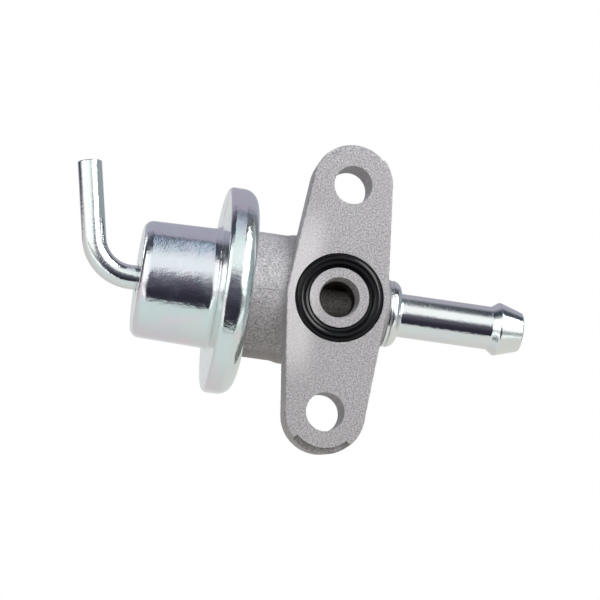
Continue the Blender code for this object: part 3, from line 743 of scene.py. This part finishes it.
def round_roof(board, level, x, turn, aside):
    """Lavender roof with a round outline and a dark edge, wider away from the middle."""
    far = (x * x / 0.52) ** 2 + ((180 - turn) / 90.5) ** 4
    level = board.mix(board.step(far, 1.06, 0.94), level, ROOF)
    spread = board.step(aside, 0.03, 0.13)
    line = board.step(far, 0.80 - spread * 0.50, 1.0 + spread * 0.2)
    line = line * board.step(far, 1.30 + spread * 4.1, 1.02 + spread * 1.6)
    return board.mix(line * (0.75 + spread * 0.23), level, ROOF_EDGE)


def sides_and_lamps(board, level, x, y, turn):
    """Grey wall at the right, the room behind, and a bright strip at the left and box at the right."""
    edge = 0.90 - board.step(turn, 0, 60) * 0.22
    wall = board.mix(board.step(turn, -60, -90), SIDE_WALL, SIDE_WALL_FOOT)
    level = board.mix(board.step(x - edge, -0.07, 0.05), level, wall)
    level = board.mix(board.step(y, 0.90, 0.975), level, BEHIND)
    strip = board.step(x, -0.93, -0.88) * board.step(x, -0.78, -0.84)
    strip = strip * board.step(turn, -6, 4) * board.step(turn, 80, 60)
    level = board.mix(strip, level, STRIP_GLOW)
    box = board.step(x, 0.30, 0.42) * board.step(x, 0.78, 0.68)
    box = box * board.step(turn, 2, 16) * board.step(turn, 76, 58)
    return board.mix(box, level, BOX_GLOW)


def make_surroundings():
    """White backdrop, plain soft light, and a studio that only the shiny surfaces mirror."""
    world = bpy.data.worlds.new("studio")
    bpy.context.scene.world = world
    world.use_nodes = True
    board = Board(world.node_tree)
    x, y, z = board.parts(board.add("ShaderNodeTexCoord", {}, output="Generated"))
    turn = board.add("ShaderNodeMath", {"operation": "ARCTAN2"}, z, -1 * y) * (180 / pi)
    aside = ((x - 0.07) * (x - 0.07)) ** 0.5
    level = front_panel(board, x, turn)
    level = dark_gap(board, level, x, turn, aside)
    level = round_roof(board, level, x, turn, aside)
    level = sides_and_lamps(board, level, x, y, turn)
    ways = board.node("ShaderNodeLightPath", {})
    seen = Value(board, ways.outputs["Is Camera Ray"])
    glossy = Value(board, ways.outputs["Is Glossy Ray"])
    soft = board.mix(board.step(z, -0.5, 0.4), LIGHT_FROM_BELOW, LIGHT_FROM_ABOVE)
    colour = board.mix(seen, board.mix(glossy, soft, level), WHITE)
    shader = board.node("ShaderNodeBackground", {}, Color=colour, Strength=1.0)
    board.node("ShaderNodeOutputWorld", {}, Surface=Value(board, shader.outputs[0]))


def make_lamp(name, place, power):
    """Soft box, which lights the dull surfaces and isn't mirrored in the plating."""
    light = bpy.data.lights.new(name, "AREA")
    light.energy = power
    light.size = LAMP_SIZE
    lamp = bpy.data.objects.new(name, light)
    bpy.context.scene.collection.objects.link(lamp)
    lamp.location = place
    lamp.rotation_euler = (-1 * Vector(place)).to_track_quat("-Z", "Y").to_euler()
    lamp.visible_glossy = False


def make_floor():
    """Pale paper under the part, fading into the white backdrop."""
    bm = bmesh.new()
    bmesh.ops.create_circle(bm, cap_ends=True, segments=96, radius=FLOOR_RADIUS)
    floor = make_object("studio_floor", bm)
    floor.location = (0.0, 0.0, -FLOOR_DROP)
    floor.visible_glossy = False
    material, board = finish("floor_paper")
    x, y, z = board.parts(board.place())
    reach = (x * x + y * y) ** 0.5
    seen = board.add("ShaderNodeLightPath", {}, output="Is Camera Ray")
    shade = board.mix(seen, PAPER_LIT, PAPER_SEEN)
    paper = board.node("ShaderNodeBsdfDiffuse", {}, Color=shade)
    white = board.node("ShaderNodeEmission", {}, Color=(*WHITE, 1.0))
    fade = seen * board.step(reach, 0.35 * FLOOR_RADIUS, 0.95 * FLOOR_RADIUS)
    both = board.node("ShaderNodeMixShader", {}, fade,
                      Value(board, paper.outputs[0]), Value(board, white.outputs[0]))
    board.node("ShaderNodeOutputMaterial", {}, Surface=Value(board, both.outputs[0]))
    floor.data.materials.append(material)


def make_camera():
    """Camera at the photograph's place."""
    lens = bpy.data.cameras.new("camera")
    lens.lens = CAMERA_LENS
    lens.sensor_width = 36.0
    lens.clip_start = 0.01
    lens.clip_end = 20.0
    camera = bpy.data.objects.new("camera", lens)
    bpy.context.scene.collection.objects.link(camera)
    matrix = Matrix(CAMERA_ROWS).to_4x4()
    matrix.translation = Vector(CAMERA_PLACE)
    camera.matrix_world = matrix
    bpy.context.scene.camera = camera


def dress(thing, material, body="housing", node=None):
    """Give a fine piece its finish and put it in the place of its node."""
    thing.data.materials.clear()
    thing.data.materials.append(material)
    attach(thing, body)
    if node:
        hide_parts(node)


make_camera()
make_surroundings()
make_floor()
make_lamp("front_soft_box", LAMP_PLACE, LAMP_POWER)
make_lamp("rear_soft_box", FILL_PLACE, FILL_POWER)
casting_look = cast_finish()
can_look = zinc_finish("zinc_can", CAN_TINTS, waves=6, mottle=2.6, grit=1.5, rough=(0.10, 0.15))
tube_look = zinc_finish("zinc_tube", TUBE_TINTS, waves=1.0, mottle=1.0, grit=2.1, rough=(0.06, 0.05))
rubber_look = rubber_finish()
steel_look = plain_metal("plain_steel", STEEL_CLEAN, STEEL_WORN)
seat_look = dull_finish()
brass_look = plain_metal("turned_brass", BRASS_CLEAN, BRASS_WORN)
dress(make_casting(), casting_look, node="body_casting")
dress(make_ring(), rubber_look, node="port_o_ring")
dress(make_can(), can_look, node="spring_can")
dress(make_nipple(), tube_look, node="vacuum_nipple")
dress(make_pipe(), tube_look, node="return_pipe")
looks = {"rubber": rubber_look, "brass": brass_look, "steel": steel_look}
slots = {row["node"]: row["material_slot"] for row in frame["record"]["subparts"]}
for node, thing in frame["nodes"].items():
    if slots[node] in looks and node != "port_o_ring":
        thing.data.materials.clear()
        thing.data.materials.append(seat_look if node == "valve_seat_tube" else looks[slots[node]])

bpy.context.scene.view_settings.view_transform = "Standard"
